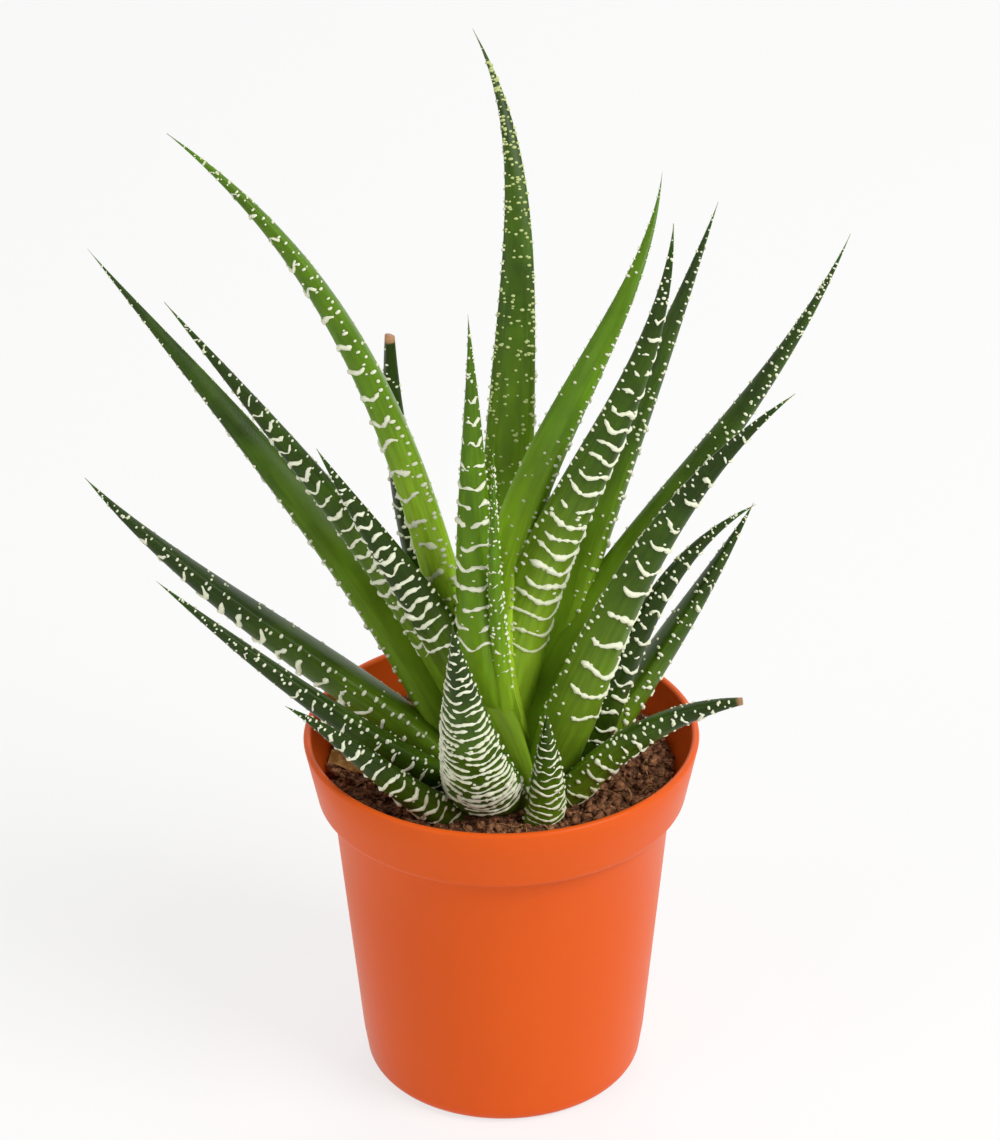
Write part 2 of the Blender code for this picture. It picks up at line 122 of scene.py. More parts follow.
# innerBulge: height of the inner face against the outer; taper, point: outline towards the tip
# thinFoot, footGain: thickness at the base and its gain along the blade; thickPower: how it follows width
# probe, probeTurn: small steps along and round the blade that give its directions
blade = dict(sides=36, stations=84, innerBulge=0.28, taper=0.9, point=1.3, thinFoot=0.5, footGain=3,
             thickPower=0.8, leastSize=0.004, probe=0.004, probeTurn=0.03)


def hexToLinear(code):
    parts = [int(code[i:i + 2], 16) / 255 for i in (0, 2, 4)]
    return tuple(p / 12.92 if p <= 0.04045 else ((p + 0.055) / 1.055) ** 2.4 for p in parts) + (1.0,)


def addNode(tree, kind, inputs=None, **settings):
    node = tree.nodes.new(kind)
    for key, value in settings.items():
        setattr(node, key, value)
    for key, value in (inputs or {}).items():
        if isinstance(value, bpy.types.NodeSocket):
            tree.links.new(value, node.inputs[key])
        else:
            node.inputs[key].default_value = value
    return node


def newMaterial(name):
    material = bpy.data.materials.new(name)
    material.use_nodes = True
    tree = material.node_tree
    tree.nodes.clear()
    return material, tree


def finishMaterial(tree, inputs):
    shader = addNode(tree, "ShaderNodeBsdfPrincipled", inputs)
    addNode(tree, "ShaderNodeOutputMaterial", {"Surface": shader.outputs[0]})


def makePiece(name, bm, material):
    mesh = bpy.data.meshes.new(name)
    bm.normal_update()
    bm.to_mesh(mesh)
    bm.free()
    mesh.shade_smooth()
    piece = bpy.data.objects.new(name, mesh)
    bpy.context.scene.collection.objects.link(piece)
    mesh.materials.append(material)
    return piece


def settle(piece, slotName, *nodes):
    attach(piece, "root")
    if nodes:
        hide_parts(*nodes)


# leaf shape
def blend3(values, share):
    base, middle, tip = values
    return (base * (1 - share) * (1 - 2 * share) + middle * 4 * share * (1 - share)
            + tip * share * (2 * share - 1))


def bladeSize(leaf, share):  # nearly parallel sides, then a long point
    share *= leaf.get("keep", 1.0)
    return (1 - share) ** blade["point"] * (1 + leaf["fullness"] * share * (1 + blade["taper"] * share))


def leafDirection(leaf, share):
    heading = math.radians(blend3(leaf["heading"], share))
    rise = math.radians(blend3(leaf["rise"], share))
    along = Vector((math.cos(heading) * math.cos(rise), math.sin(heading) * math.cos(rise), math.sin(rise)))
    across = Vector((math.sin(heading), -math.cos(heading), 0))
    across.rotate(Matrix.Rotation(math.radians(leaf["roll"]), 3, along))
    return across, along


def leafPath(leaf):  # points along the middle of the blade, one per station
    seat = math.radians(leaf.get("seat", leaf["heading"][0]))
    out = Vector((math.cos(seat), math.sin(seat), 0)) * leaf["reach"]
    points = [stemPlace + (out + Vector((0, 0, leaf["foot"]))) * mm]
    step = leaf["length"] * mm / blade["stations"]
    for index in range(blade["stations"]):
        points.append(points[-1] + leafDirection(leaf, (index + 0.5) / blade["stations"])[1] * step)
    return points


def frameAt(leaf, path, share):  # columns: across, inner face, along, place
    share = min(max(share, 0.0), 1.0)
    spot = share * blade["stations"]
    index = min(int(spot), blade["stations"] - 1)
    across, along = leafDirection(leaf, share)
    turn = Matrix((across, across.cross(along), along)).transposed().to_4x4()
    turn.translation = path[index].lerp(path[index + 1], spot - index)
    size = max(bladeSize(leaf, share), blade["leastSize"])
    foot = min(1.0, blade["thinFoot"] + blade["footGain"] * share)
    thick = leaf["thick"] * size ** blade["thickPower"] * foot
    return turn @ Matrix.Diagonal((leaf["width"] / 2 * mm * size, thick * mm, 1, 1))


def sectionPoint(angle):  # half-round outer face below, flatter inner face above
    height = math.sin(angle) * (blade["innerBulge"] if math.sin(angle) > 0 else 1.0)
    return Vector((math.cos(angle), height + (1 - blade["innerBulge"]) / 2, 0))


def surfaceAt(leaf, path, share, angle):  # a place on the blade, its normal and its direction along the leaf
    place = frameAt(leaf, path, share) @ sectionPoint(angle)
    alongStep = frameAt(leaf, path, share + blade["probe"]) @ sectionPoint(angle) - place
    roundStep = frameAt(leaf, path, share) @ sectionPoint(angle + blade["probeTurn"]) - place
    normal = roundStep.cross(alongStep).normalized()
    return place, normal, alongStep.normalized()


def growRing(bm, edges, change):  # extrudes a ring of edges and moves the new ring
    grown = bmesh.ops.extrude_edge_only(bm, edges=edges)["geom"]
    verts = [item for item in grown if isinstance(item, bmesh.types.BMVert)]
    bmesh.ops.transform(bm, matrix=change, verts=verts)
    return verts, [item for item in grown if isinstance(item, bmesh.types.BMEdge)]


def buildBlade(leaf, path):
    bm = bmesh.new()
    shareLayer = bm.verts.layers.float.new("lengthShare")
    constants = {name: bm.verts.layers.float.new(name) for name in ("tone", "glow", "dry")}
    innerLayer = bm.verts.layers.float.new("innerFace")
    uvLayer = bm.loops.layers.uv.new("leafUv")
    ring = bmesh.ops.create_circle(bm, cap_ends=False, segments=blade["sides"], radius=1)["verts"]
    for vert in ring:
        angle = math.atan2(vert.co.y, vert.co.x)
        vert.co = sectionPoint(angle)
        vert[innerLayer] = 0.5 + 0.5 * math.sin(angle)
        for name, layer in constants.items():
            vert[layer] = leaf.get(name, 0.0)
    edges = list(bm.edges)
    bmesh.ops.contextual_create(bm, geom=edges)
    before = frameAt(leaf, path, 0)
    bmesh.ops.transform(bm, matrix=before, verts=ring)
    for index in range(1, blade["stations"] + 1):
        share = index / blade["stations"]
        after = frameAt(leaf, path, share)
        ring, edges = growRing(bm, edges, after @ before.inverted())
        for vert in ring:
            vert[shareLayer] = share
        before = after
    bmesh.ops.contextual_create(bm, geom=edges)
    for face in bm.faces:  # pattern map: mm around the girth and mm along the blade
        for loop in face.loops:
            vert = loop.vert
            loop[uvLayer].uv = (vert[innerLayer] * leaf["width"], vert[shareLayer] * leaf["length"])
    bmesh.ops.recalc_face_normals(bm, faces=bm.faces)
    return bm


# tubercles: raised ridges and dots
# radii, steps and pitches in mm, counts per mm of leaf; two values are the limits of a random draw
# longPiece, shortPiece, gap: pieces of a broken band and the gaps in it, as shares of the half girth
# rows: where dots run on the inner face, from one margin (-1) to the other (1)
# greenFoot: share of the leaf below which warts turn green
tubercle = dict(ridgeSides=8, ridgeStep=0.35, ridgeHeight=0.95, ridgeEnd=0.45, endGain=0.55,
                lumpScale=1600, lumpiness=1.25, leastLump=0.4, vary=(0.85, 1.15), firstBand=0.6,
                bandGain=4, girthShare=0.75, leastGirth=0.6, lobes=(6.5, 9.0), wave=0.45,
                waveVary=(0.4, 1.2), bowPower=1.4, lastShare=0.995, wrap=(0.9, 1.0),
                longPiece=(0.5, 1.3), shortPiece=(0.12, 0.6), cutChance=0.25, gap=(0.12, 0.28),
                bandsEnd=0.95, loneDot=1.15, dotHeight=0.9, dotWidth=(1.0, 1.9), tooth=(0.2, 0.37),
                toothPitch=1.6, toothHeight=1.15, teethStart=0.75, teethEnd=0.98, fleck=(0.12, 0.24),
                fleckCount=0.45, rowDot=(0.13, 0.25), rowCount=1.6,
                rows=(-0.72, -0.45, -0.15, 0.15, 0.45, 0.72), greenFoot=0.35)


def gather(bm, part):  # adds a small mesh to a growing one
    mesh = bpy.data.meshes.new("part")
    part.to_mesh(mesh)
    part.free()
    bm.from_mesh(mesh)
    bpy.data.meshes.remove(mesh)


def addDot(bm, spot, radius, height, glow, wide=1.0):
    place, normal, along = spot
    side = normal.cross(along).normalized()
    matrix = Matrix((along * radius, side * radius * wide, normal * height)).transposed().to_4x4()
    matrix.translation = place
    part = bmesh.new()
    glowLayer = part.verts.layers.float.new("glow")
    dome = bmesh.ops.create_uvsphere(part, u_segments=8, v_segments=5, radius=1, matrix=matrix)
    for vert in dome["verts"]:
        vert[glowLayer] = glow
    gather(bm, part)


def addRidge(bm, stops, halfWidth, height, lumpiness=0.0, glow=0.0):  # a rod with tapered ends
    frames = []
    last = len(stops) - 1
    for index, (place, normal, along) in enumerate(stops):
        run = (stops[min(index + 1, last)][0] - stops[max(index - 1, 0)][0]).normalized()
        side = run.cross(normal).normalized()
        lift = side.cross(run)
        lump = max(tubercle["leastLump"], 1 + lumpiness * noise.noise(place * tubercle["lumpScale"]))
        size = min(1.0, tubercle["ridgeEnd"] + tubercle["endGain"] * min(index, last - index)) * lump
        matrix = Matrix((side * halfWidth * size, lift * height * size, run * mm)).transposed().to_4x4()
        matrix.translation = place
        frames.append(matrix)
    part = bmesh.new()
    glowLayer = part.verts.layers.float.new("glow")
    ring = bmesh.ops.create_circle(part, cap_ends=False, segments=tubercle["ridgeSides"], radius=1)["verts"]
    edges = list(part.edges)
    bmesh.ops.contextual_create(part, geom=edges)
    bmesh.ops.transform(part, matrix=frames[0], verts=ring)
    for before, after in zip(frames, frames[1:]):
        ring, edges = growRing(part, edges, after @ before.inverted())
    bmesh.ops.contextual_create(part, geom=edges)
    for vert in part.verts:
        vert[glowLayer] = glow
    gather(bm, part)


def addBand(bm, leaf, path, rng, share):  # one crosswise band on the outer face, whole or in pieces
    size = bladeSize(leaf, share)
    grown = min(1.0, tubercle["firstBand"] + (share - leaf["start"]) * tubercle["bandGain"])
    halfWidth = leaf["ridge"] * (0.5 + 0.5 * min(1, size)) * grown
    halfWidth *= rng.uniform(*tubercle["vary"]) * mm
    height = halfWidth * tubercle["ridgeHeight"]
    girth = leaf["width"] * size * tubercle["girthShare"]  # from the middle of the outer face to its margin
    step = tubercle["ridgeStep"] / max(girth, tubercle["leastGirth"])
    lobes = rng.uniform(*tubercle["lobes"])
    phase = rng.uniform(0, math.tau)
    wave = leaf.get("wave", tubercle["wave"]) * rng.uniform(*tubercle["waveVary"])
    glow = max(0.0, 1 - share / tubercle["greenFoot"]) * leaf["glow"]
    reach = -leaf["span"] * rng.uniform(*tubercle["wrap"])
    span = leaf["span"] * rng.uniform(*tubercle["wrap"])
    pieces = tubercle["longPiece"] if leaf["broken"] < 0.5 else tubercle["shortPiece"]
    while reach < span:
        long = rng.uniform(*pieces)
        cut = rng.random() < leaf["broken"] + tubercle["cutChance"]
        stop = min(span, reach + long) if cut else span
        stops = []
        spot = reach
        while spot <= stop + 1e-6:
            bow = leaf["bow"] * size * abs(spot) ** tubercle["bowPower"]
            sag = bow + wave * math.sin(spot * lobes + phase)
            where = min(share + sag / leaf["length"], tubercle["lastShare"])
            stops.append(surfaceAt(leaf, path, where, math.pi * (1.5 + spot / 2)))
            spot += step
        if len(stops) > 2:
            addRidge(bm, stops, halfWidth, height, tubercle["lumpiness"], glow)
        elif stops:
            addDot(bm, stops[0], halfWidth * tubercle["loneDot"], height, glow)
        reach = stop + rng.uniform(*tubercle["gap"])


def buildTubercles(leaf, path, rng):
    bm = bmesh.new()
    bm.verts.layers.float.new("glow")
    length = leaf["length"]

    def scatter(share, angle, radii, height, tint=0.0):
        radius = rng.uniform(*radii) * mm
        glow = max(tint, (1 - share / tubercle["greenFoot"]) * leaf["glow"])
        wide = rng.uniform(*tubercle["dotWidth"])
        addDot(bm, surfaceAt(leaf, path, share, angle), radius, radius * height, glow, wide)

    share = leaf["start"]
    while share < min(leaf["end"], tubercle["bandsEnd"]):
        addBand(bm, leaf, path, rng, share)
        share += rng.uniform(*tubercle["vary"]) * leaf["bands"] / length
    low = tubercle["teethStart"] * leaf["start"]
    teeth = int(length * (1 - low) / tubercle["toothPitch"])
    for side in (0, 1):  # teeth on the two margins
        for index in range(teeth):
            share = low + (tubercle["teethEnd"] - low) * (index + rng.uniform(0, 0.7)) / teeth
            fine = 0.45 + 0.55 * bladeSize(leaf, share)
            radii = [radius * fine for radius in tubercle["tooth"]]
            angle = math.pi * (1 + side) + rng.uniform(-0.25, 0.25)
            scatter(share, angle, radii, tubercle["toothHeight"])
    for index in range(int(length * tubercle["fleckCount"])):  # small dots between the bands
        share = rng.uniform(leaf["start"], 0.97)
        scatter(share, math.pi * (1.5 + rng.uniform(-0.48, 0.48)), tubercle["fleck"], tubercle["dotHeight"])
    for index in range(int(length * leaf["innerDots"] * tubercle["rowCount"])):  # rows on the inner face
        column = rng.choice(tubercle["rows"]) + rng.uniform(-0.08, 0.08)
        share = rng.uniform(leaf.get("innerStart", 0.16), 0.95)
        tint = leaf.get("innerTint", 0.2)
        scatter(share, math.pi / 2 * (1 + column), tubercle["rowDot"], tubercle["dotHeight"], tint)
    bmesh.ops.recalc_face_normals(bm, faces=bm.faces)
    return bm


# materials
# foot: the lime of the leaf bases, brighter than their own colour as painted light for the shaded rosette
# centre
leafLook = dict(dark="2A3F0A", bright="74A218", foot="B0D836", tip="4C442C", callus="BE8B68")


def leafMaterial():  # living haworthia leaf: waxy cuticle gives a satin sheen over deep green tissue
    material, tree = newMaterial("waxyLeafCuticle")
    share = addNode(tree, "ShaderNodeAttribute", attribute_name="lengthShare").outputs["Fac"]
    tone = addNode(tree, "ShaderNodeAttribute", attribute_name="tone").outputs["Fac"]
    glow = addNode(tree, "ShaderNodeAttribute", attribute_name="glow").outputs["Fac"]
    dry = addNode(tree, "ShaderNodeAttribute", attribute_name="dry").outputs["Fac"]
    spots = addNode(tree, "ShaderNodeTexCoord").outputs["Object"]
    cloud = addNode(tree, "ShaderNodeTexNoise", {"Vector": spots, "Scale": 160.0,
                                                 "Detail": 3.0})  # 6 mm patches
    patch = addNode(tree, "ShaderNodeMath", {0: cloud.outputs["Fac"], 1: 0.5, 2: -0.25},
                    operation="MULTIPLY_ADD")
    # darker green towards the tip
    tipDarkening = addNode(tree, "ShaderNodeMapRange", {"Value": share, "From Min": 0.3, "From Max": 0.95,
                                                 "To Min": 0.0, "To Max": -0.4})
    toneToTip = addNode(tree, "ShaderNodeMath", {0: tone, 1: tipDarkening.outputs[0]}, operation="ADD")
    amount = addNode(tree, "ShaderNodeMath", {0: toneToTip.outputs[0], 1: patch.outputs[0]}, operation="ADD",
                     use_clamp=True)
    green = addNode(tree, "ShaderNodeMix", {0: amount.outputs[0], 6: hexToLinear(leafLook["dark"]),
                                            7: hexToLinear(leafLook["bright"])}, data_type="RGBA")
    # pale lime towards the base: the leaves' own colour, strengthened as painted light where the rosette
    # centre lies in shade
    foot = addNode(tree, "ShaderNodeMapRange", {"Value": share, "From Min": 0.62, "From Max": 0.08,
                                                "To Min": 0.0, "To Max": 1.0},
                   interpolation_type="SMOOTHSTEP")
    footAmount = addNode(tree, "ShaderNodeMath", {0: foot.outputs[0], 1: glow}, operation="MULTIPLY")
    footed = addNode(tree, "ShaderNodeMix", {0: footAmount.outputs[0], 6: green.outputs[2],
                                             7: hexToLinear(leafLook["foot"])}, data_type="RGBA")
    tipStart = addNode(tree, "ShaderNodeMath", {0: dry, 1: 0.028, 2: 0.957}, operation="MULTIPLY_ADD")
    tip = addNode(tree, "ShaderNodeMapRange", {"Value": share, "From Min": tipStart.outputs[0],
                                               "From Max": 0.99,
                                               "To Min": 0.0, "To Max": 0.9})
    deadTip = addNode(tree, "ShaderNodeMix", {0: dry, 6: hexToLinear(leafLook["tip"]),
                                              7: hexToLinear(leafLook["callus"])}, data_type="RGBA")
    tipped = addNode(tree, "ShaderNodeMix", {0: tip.outputs[0], 6: footed.outputs[2], 7: deadTip.outputs[2]},
                     data_type="RGBA")
    uv = addNode(tree, "ShaderNodeUVMap", uv_map="leafUv").outputs["UV"]
    stretched = addNode(tree, "ShaderNodeMapping", {"Vector": uv, "Scale": (2.2, 0.12,
                                                                            1.0)})  # veins 0.5 mm apart
    veins = addNode(tree, "ShaderNodeTexNoise", {"Vector": stretched.outputs[0], "Scale": 1.0,
                                                 "Detail": 2.0})
    veinShade = addNode(tree, "ShaderNodeMapRange", {"Value": veins.outputs["Fac"], "From Min": 0.35,
                                                     "From Max": 0.7, "To Min": 0.82, "To Max": 1.12})
    shaded = addNode(tree, "ShaderNodeMix", {0: 1.0, 6: tipped.outputs[2], 7: veinShade.outputs[0]},
                     data_type="RGBA", blend_type="MULTIPLY")
    cells = addNode(tree, "ShaderNodeTexNoise", {"Vector": spots, "Scale": 3500.0,
                                                 "Detail": 1.0})  # 0.3 mm grain
    bump = addNode(tree, "ShaderNodeBump", {"Height": cells.outputs["Fac"], "Strength": 0.12,
                                            "Distance": 0.0002})
    rough = addNode(tree, "ShaderNodeMapRange", {"Value": cloud.outputs["Fac"], "From Min": 0.3,
                                                 "From Max": 0.7,
                                                 "To Min": 0.3, "To Max": 0.43})
    finishMaterial(tree, {"Base Color": shaded.outputs[2], "Roughness": rough.outputs[0], "IOR": 1.45,
                          "Specular IOR Level": 0.2, "Normal": bump.outputs[0], "Subsurface Weight": 0.3,
                          "Subsurface Radius": (0.4, 1.0, 0.2), "Subsurface Scale": 0.002})
    return material


def tubercleMaterial():  # pearly corky warts: off-white, slightly translucent, satin
    material, tree = newMaterial("pearlyTubercle")
    glow = addNode(tree, "ShaderNodeAttribute", attribute_name="glow").outputs["Fac"]
    mixed = addNode(tree, "ShaderNodeMix", {0: glow, 6: hexToLinear("E9EBCF"), 7: hexToLinear("A9BC4A")},
                    data_type="RGBA")
    finishMaterial(tree, {"Base Color": mixed.outputs[2], "Roughness": 0.42, "IOR": 1.45,
                          "Specular IOR Level": 0.3,
                          "Subsurface Weight": 0.15, "Subsurface Radius": (1.0, 1.0, 0.6),
                          "Subsurface Scale": 0.0006})
    return material


def potMaterial():  # injection-moulded polypropylene: even colour, satin gloss, faint flow marks
    material, tree = newMaterial("mouldedPolypropylene")
    spots = addNode(tree, "ShaderNodeTexCoord").outputs["Object"]
    cloud = addNode(tree, "ShaderNodeTexNoise", {"Vector": spots, "Scale": 35.0, "Detail": 3.0})
    mixed = addNode(tree, "ShaderNodeMix", {0: cloud.outputs["Fac"], 6: hexToLinear("DE5614"),
                                            7: hexToLinear("E6601A")}, data_type="RGBA")
    grain = addNode(tree, "ShaderNodeTexNoise", {"Vector": spots, "Scale": 2200.0, "Detail": 1.0})
    bump = addNode(tree, "ShaderNodeBump", {"Height": grain.outputs["Fac"], "Strength": 0.05,
                                            "Distance": 0.0002})
    rough = addNode(tree, "ShaderNodeMapRange", {"Value": cloud.outputs["Fac"], "From Min": 0.3,
                                                 "From Max": 0.7,
                                                 "To Min": 0.33, "To Max": 0.42})
    finishMaterial(tree, {"Base Color": mixed.outputs[2], "Roughness": rough.outputs[0], "IOR": 1.49,
                          "Specular IOR Level": 0.14, "Normal": bump.outputs[0]})
    return material


def mottledMaterial(name, dark, light, scale):  # peat, coir or withered leaf: matt, dark with paler flecks
    material, tree = newMaterial(name)
    spots = addNode(tree, "ShaderNodeTexCoord").outputs["Object"]
    cloud = addNode(tree, "ShaderNodeTexNoise", {"Vector": spots, "Scale": scale, "Detail": 5.0,
                                                 "Roughness": 0.65})
    fade = addNode(tree, "ShaderNodeMapRange", {"Value": cloud.outputs["Fac"], "From Min": 0.4,
                                                "From Max": 0.68})
    mixed = addNode(tree, "ShaderNodeMix", {0: fade.outputs[0], 6: hexToLinear(dark), 7: hexToLinear(light)},
                    data_type="RGBA")
    bump = addNode(tree, "ShaderNodeBump", {"Height": cloud.outputs["Fac"], "Strength": 0.7,
                                            "Distance": 0.0004})
    finishMaterial(tree, {"Base Color": mixed.outputs[2], "Roughness": 0.92, "Specular IOR Level": 0.15,
                          "Normal": bump.outputs[0]})
    return material


# leaves
def buildLeaves():
    cuticle = leafMaterial()
    pearl = tubercleMaterial()
    for number, (name, leaf) in enumerate(leafTable.items()):
        path = leafPath(leaf)
        bladePiece = makePiece("blade_" + name, buildBlade(leaf, path), cuticle)
        settle(bladePiece, "leaf", "leaf_" + name)
        tubercles = makePiece("tubercles_" + name, buildTubercles(leaf, path, random.Random(number)), pearl)
        settle(tubercles, "leaf")
    print("leaves built:", len(leafTable))


# pot
pot = dict(height=58 * mm, rim=30 * mm, collar=10.5 * mm, collarFoot=28.2 * mm, shoulder=25.9 * mm,
           base=21.5 * mm, round=2.4 * mm, wall=1.2 * mm, lip=0.6 * mm, sides=160, holes=5,
           hole=2.2 * mm, holeCircle=13 * mm)


def arcPoints(centre, radius, start, end, steps):
    angles = [math.radians(start + (end - start) * step / steps) for step in range(steps + 1)]
    return [(centre[0] + radius * math.cos(a), centre[1] + radius * math.sin(a)) for a in angles]


def wallRadius(height):  # outside of the tapered wall
    return pot["base"] + (pot["shoulder"] - pot["base"]) * height / (pot["height"] - pot["collar"])


def mouthRadius(height):  # inside of the wall and of the wider collar
    foot = pot["height"] - pot["collar"]
    if height <= foot:
        return wallRadius(height) - pot["wall"]
    share = min(1.0, (height - foot) / pot["collar"] * 1.4)
    narrow = pot["shoulder"] - pot["wall"]
    return narrow + (pot["rim"] - 2 * pot["lip"] - narrow) * share


def turnOutline(outline, sides):
    bm = bmesh.new()
    points = [bm.verts.new((radius, 0, height)) for radius, height in outline]
    edges = [bm.edges.new(pair) for pair in zip(points, points[1:])]
    bmesh.ops.spin(bm, geom=points + edges, cent=(0, 0, 0), axis=(0, 0, 1), dvec=(0, 0, 0), angle=math.tau,
                   steps=sides, use_merge=True, use_duplicate=False)
    bmesh.ops.remove_doubles(bm, verts=bm.verts, dist=0.001 * mm)
    bmesh.ops.recalc_face_normals(bm, faces=bm.faces)
    return bm


def buildPot():
    foot = pot["height"] - pot["collar"]
    outline = [(0, 0), (pot["base"] - pot["round"] - 3 * mm, 0)]
    outline += arcPoints((pot["base"] - pot["round"], pot["round"]), pot["round"], -90, -3, 8)
    supports = (6 * mm, 20 * mm, 34 * mm, foot - 1.6 * mm)  # rings that keep the shading of the wall even
    outline += [(wallRadius(height), height) for height in supports]
    outline += [(wallRadius(foot) + 0.15 * mm, foot - 0.6 * mm), (wallRadius(foot) + 0.6 * mm,
                                                                  foot - 0.1 * mm)]
    outline += arcPoints((pot["collarFoot"] - 1.2 * mm, foot + 1.2 * mm), 1.2 * mm, -80, -8, 6)
    outline += [(pot["collarFoot"] + 0.9 * mm, foot + 5.5 * mm)]
    outline += arcPoints((pot["rim"] - pot["lip"], pot["height"] - pot["lip"]), pot["lip"], 0, 180, 8)
    outline += [(mouthRadius(height), height) for height in (foot + pot["collar"] / 1.4, foot, 20 * mm,
                                                             pot["round"] + pot["wall"])]
    outline += [(pot["base"] - pot["round"], pot["wall"]), (0, pot["wall"])]
    piece = makePiece("nursery_pot", turnOutline(outline, pot["sides"]), potMaterial())
    for index in range(pot["holes"]):  # drain holes through the floor
        turn = math.tau * (index + 0.5) / pot["holes"]
        bm = bmesh.new()
        at = Matrix.Translation((pot["holeCircle"] * math.cos(turn), pot["holeCircle"] * math.sin(turn), 0))
        bmesh.ops.create_cone(bm, cap_ends=True, segments=32, radius1=pot["hole"], radius2=pot["hole"],
                              depth=6 * pot["wall"], matrix=at)
        cutter = makePiece("drill", bm, piece.data.materials[0])
        boolean = piece.modifiers.new("drain", "BOOLEAN")
        boolean.operation = "DIFFERENCE"
        boolean.object = cutter
        cut = bpy.data.meshes.new_from_object(piece.evaluated_get(bpy.context.evaluated_depsgraph_get()))
        piece.modifiers.clear()
        piece.data = cut
        bpy.data.objects.remove(cutter, do_unlink=True)
    piece.data.shade_smooth()
    piece.data.set_sharp_from_angle(angle=math.radians(50))
    settle(piece, "pot", "pot")
    print("pot built")


# soil
# bumps: height in mm and scale of each wave of the surface
# crumbSizes, fibreRadius, fibreStep, fibreLift: in mm; crumbVary, crumbLong, crumbFlat: of a crumb's size
# crumbReach, fibreReach: how near the wall they lie; fibreBend: limit of the turn at each step
soil = dict(top=51.6 * mm, sides=120, rings=44, gap=0.3 * mm, seed=11,
            bumps=((0.9, 150), (0.5, 520), (0.25, 1500)), crumbs=4000,
            crumbSizes=(0.16, 0.2, 0.25, 0.32, 0.42, 0.62), crumbVary=(0.7, 1.3), crumbReach=0.985,
            crumbLong=(0.8, 1.6), crumbFlat=(0.6, 1.0), crumbLump=0.9, crumbLumpScale=2600,
            fineCrumb=0.3 * mm, fibres=170, fibreReach=0.93, fibreRadius=(0.05, 0.11), fibreBend=0.35,
            fibreSteps=(5, 10), fibreStep=0.7, fibreLift=(0.2, 0.7))


def soilHeight(x, y):
    spot = Vector((x, y, 0))
    return soil["top"] + mm * sum(height * noise.noise(spot * scale) for height, scale in soil["bumps"])


def buildSoilBody(edge):
    floor = pot["wall"] + soil["gap"]
    outline = [(0, floor), (pot["base"] - pot["round"] - soil["gap"], floor)]
    heights = (pot["round"] + pot["wall"] + soil["gap"], pot["height"] - pot["collar"], soil["top"] - mm)
    outline += [(mouthRadius(height) - soil["gap"], height) for height in heights]
    outline += [(edge * (1 - ring / soil["rings"]), soil["top"]) for ring in range(1, soil["rings"] + 1)]
    bm = turnOutline(outline, soil["sides"])
    for vert in bm.verts:
        if vert.co.z > soil["top"] - 0.5 * mm:
            vert.co.z = soilHeight(vert.co.x, vert.co.y)
    body = makePiece("soil_body", bm, mottledMaterial("peatSubstrate", "46291D", "96684A", 1100.0))
    settle(body, "soil", "soil")


def buildCrumbs(edge, rng):
    bm = bmesh.new()
    for index in range(soil["crumbs"]):
        radius = edge * math.sqrt(rng.random()) * soil["crumbReach"]
        turn = rng.uniform(0, math.tau)
        size = rng.choice(soil["crumbSizes"]) * rng.uniform(*soil["crumbVary"]) * mm
        x, y = radius * math.cos(turn), radius * math.sin(turn)
        at = Matrix.Translation((x, y, soilHeight(x, y) + size * rng.uniform(0.0, 0.6)))
        shape = Matrix.Rotation(rng.uniform(0, 6), 4, "Z") @ Matrix.Rotation(rng.uniform(0, 3), 4, "X")
        long = size * rng.uniform(*soil["crumbLong"])
        flat = size * rng.uniform(*soil["crumbFlat"])
        part = bmesh.new()
        bmesh.ops.create_icosphere(part, subdivisions=1 if size < soil["fineCrumb"] else 2, radius=1,
                                   matrix=at @ shape @ Matrix.Diagonal((long, size, flat, 1)))
        for vert in part.verts:
            lump = noise.noise(vert.co * soil["crumbLumpScale"])
            vert.co += (vert.co - at.translation) * soil["crumbLump"] * lump
        gather(bm, part)
    crumbs = makePiece("soil_crumbs", bm, mottledMaterial("peatCrumb", "4E2E20", "B27E58", 1000.0))
    settle(crumbs, "soil")


def buildFibres(edge, rng):
    bm = bmesh.new()
    for index in range(soil["fibres"]):
        radius = edge * math.sqrt(rng.random()) * soil["fibreReach"]
        turn = rng.uniform(0, math.tau)
        place = Vector((radius * math.cos(turn), radius * math.sin(turn), 0))
        place.z = soilHeight(place.x, place.y) + 0.1 * mm
        heading = rng.uniform(0, math.tau)
        bend = rng.uniform(-soil["fibreBend"], soil["fibreBend"])
        thin = rng.uniform(*soil["fibreRadius"]) * mm
        stops = []
        for step in range(rng.randint(*soil["fibreSteps"])):
            stops.append((place.copy(), Vector((0, 0, 1)), Vector((0, 1, 0))))
            heading += bend
            place = place + Vector((math.cos(heading), math.sin(heading), 0)) * soil["fibreStep"] * mm
            if place.xy.length > edge:
                break
            place.z = soilHeight(place.x, place.y) + rng.uniform(*soil["fibreLift"]) * mm
        if len(stops) > 2:
            addRidge(bm, stops, thin, thin)
    bmesh.ops.recalc_face_normals(bm, faces=bm.faces)
    fibres = makePiece("soil_fibres", bm, mottledMaterial("coirFibre", "7A5230", "C79C68", 300.0))
    settle(fibres, "soil")


def buildSoil():
    edge = mouthRadius(soil["top"]) - soil["gap"]
    rng = random.Random(soil["seed"])
    buildSoilBody(edge)
    buildCrumbs(edge, rng)
    buildFibres(edge, rng)
    print("soil built")


# withered leaf and fibre
husk = dict(length=19, width=3.6, thick=1.0, heading=(188, 180, 168), rise=(8, 26, 6), reach=11,
            seat=206, foot=52.9, roll=-30, fullness=0.7, keep=0.45, crinkle=0.25, crinkleScale=700)
fibre = dict(radius=0.2 * mm, points=[(-13.5, -8, 56.5), (-12.2, -9.6, 55.6), (-11, -11.6, 54.6),
                                      (-10.4, -14, 53.9), (-10.2, -16.4, 53.2)])


